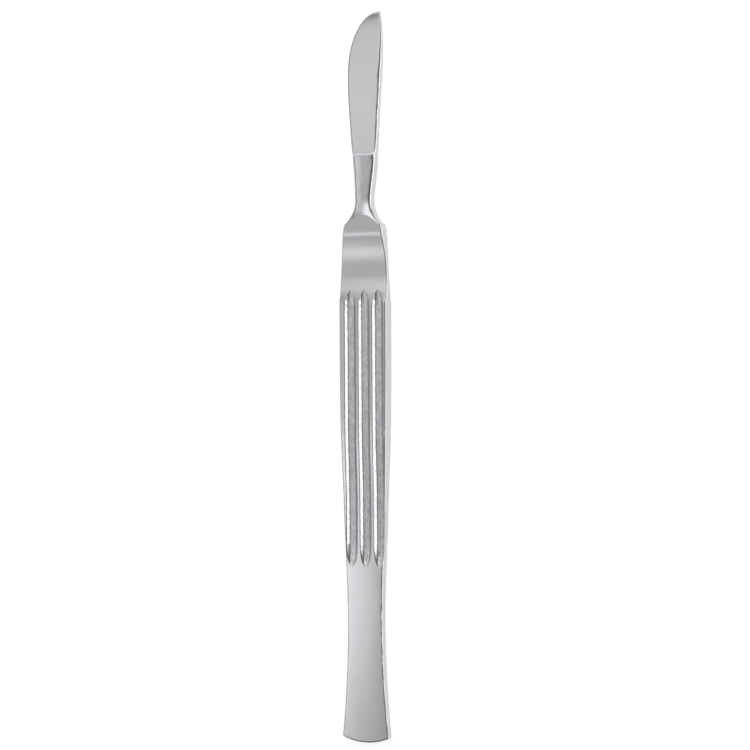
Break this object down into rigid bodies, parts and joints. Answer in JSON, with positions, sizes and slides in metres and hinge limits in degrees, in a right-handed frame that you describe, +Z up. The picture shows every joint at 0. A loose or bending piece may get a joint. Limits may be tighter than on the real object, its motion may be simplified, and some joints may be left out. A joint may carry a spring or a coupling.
{
  "type": "scalpel",
  "caption": "Solid forged steel scalpel: bellied blade with a round back, slim neck, hollowed thumb rests and a flat fluted handle that flares at the tail.",
  "frame": {"origin": "bottom centre of the bounding box, on the surface that the knife lies on", "axes": "+Y runs along the knife to the point, +Z is up from the broad face that it lies on, +X is the back of the blade and -X its cutting edge"},
  "size_m": [0.0112, 0.16, 0.0035],
  "materials": {
    "steel": "satin ground stainless steel, brighter on the blade, matt in the flutes"
  },
  "bodies": {
    "root": {"scalpel": "steel"}
  },
  "joints": []
}
